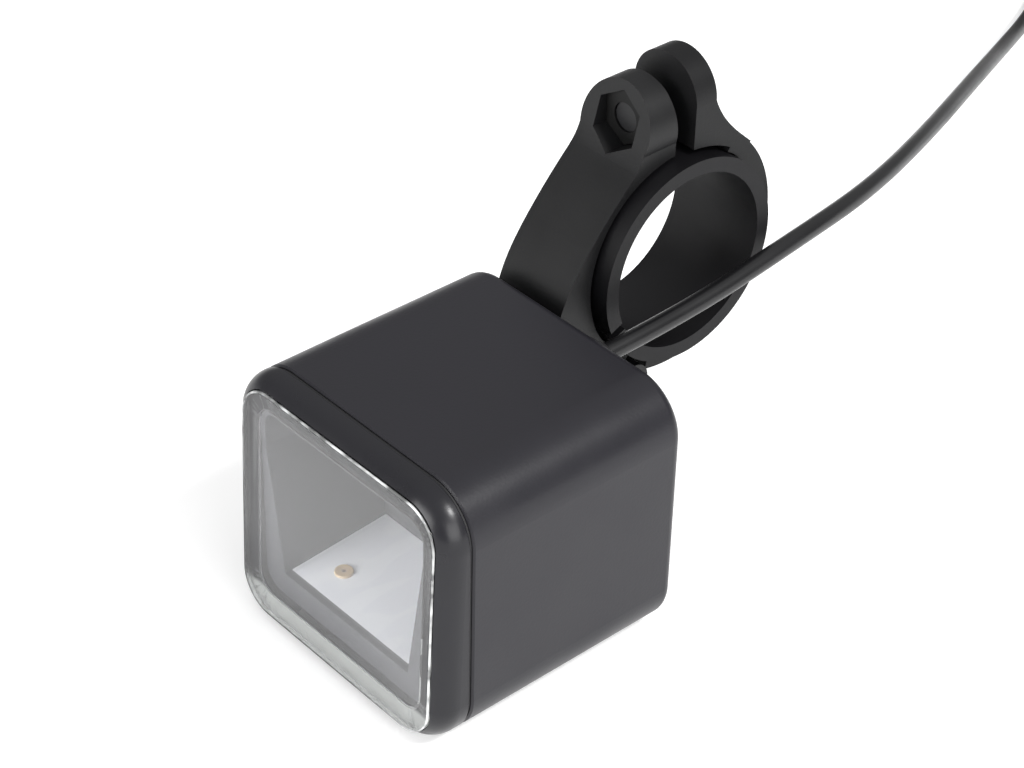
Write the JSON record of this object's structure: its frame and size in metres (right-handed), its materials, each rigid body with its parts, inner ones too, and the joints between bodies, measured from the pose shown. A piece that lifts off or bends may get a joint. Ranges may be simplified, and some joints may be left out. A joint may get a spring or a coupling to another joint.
{
  "type": "bicycle_headlight",
  "caption": "E-bike headlight: dark box housing, clear front lens over a reflector, tilting handlebar clamp bracket and a thin black cable with a plug.",
  "frame": {"origin": "centre of the housing shell's underside, on the surface the lamp rests on", "axes": "front (lens) -Y, up +Z, bar axis X, right-hand side of the picture +X"},
  "size_m": [0.1197, 0.2373, 0.0636],
  "materials": {
    "housing_paint": "fine satin",
    "bezel_plastic": "satin",
    "rubber_black": "matte",
    "lens_clear": "clear",
    "reflector_satin": "satin",
    "spreader_alu": "satin",
    "pad_grey": "matte",
    "board_white": "satin",
    "emitter": "satin",
    "screw_steel": "brushed",
    "cover_plastic": "matte",
    "screw_black": "black oxide",
    "board_green": "satin",
    "component_black": "matte",
    "capacitor_alu": "satin",
    "wire_red": "satin",
    "wire_black": "satin",
    "washer_nylon": "satin",
    "clamp_plastic": "matte",
    "sleeve_plastic": "matte",
    "nut_dark": "black oxide",
    "cable_black": "satin",
    "plug_black": "satin",
    "pin_gold": "polished",
    "ring_red": "satin",
    "tie_black": "matte"
  },
  "bodies": {
    "lamp": {"housing": "housing_paint", "front_bezel": "bezel_plastic", "seam_seal": "rubber_black", "front_lens": "lens_clear", "lens_gasket": "rubber_black", "reflector": "reflector_satin", "heat_spreader": "spreader_alu", "thermal_pad": "pad_grey", "light_board": "board_white", "light_emitter": "emitter", "board_screws": "screw_steel", "back_cover": "cover_plastic", "back_gasket": "rubber_black", "cover_screws": "screw_black", "driver_board": "board_green", "driver_screws": "screw_steel", "driver_inductor": "component_black", "driver_capacitor": "capacitor_alu", "driver_chip": "component_black", "light_lead_red": "wire_red", "light_lead_black": "wire_black", "supply_lead_red": "wire_red", "supply_lead_black": "wire_black", "tilt_screw": "screw_black", "tilt_nut": "screw_steel", "tilt_washers": "washer_nylon", "cable_boot": "rubber_black", "cable": "cable_black", "cable_coil": "cable_black", "cable_tail": "cable_black", "plug_body": "plug_black", "plug_pins": "pin_gold", "plug_ring": "ring_red", "coil_tie": "tie_black"},
    "bracket_body": {"bracket": "clamp_plastic", "bar_sleeve": "sleeve_plastic", "hinge_pin": "screw_steel", "clamp_nut": "nut_dark"},
    "jaw": {"clamp_jaw": "clamp_plastic"},
    "screw": {"clamp_screw": "screw_black"}
  },
  "joints": [
    {"name": "lamp_tilt", "type": "hinge", "parent": "lamp", "child": "bracket_body", "pos_m": [-0.0099, 0.0226, 0.02075], "axis": [-1, 0, 0], "range_deg": [-6, 25]},
    {"name": "jaw_hinge", "type": "hinge", "parent": "bracket_body", "child": "jaw", "pos_m": [-0.0099, 0.0316, 0.0192], "axis": [-1, 0, 0], "range_deg": [0, 3]},
    {"name": "screw_travel", "type": "slide", "parent": "bracket_body", "child": "screw", "axis": [0, 1, 0], "range_m": [0, 0.00188]}
  ],
  "couplings": [
    {"joint": "jaw_hinge", "follows": "screw_travel", "rad_per_m": 27.701}
  ]
}
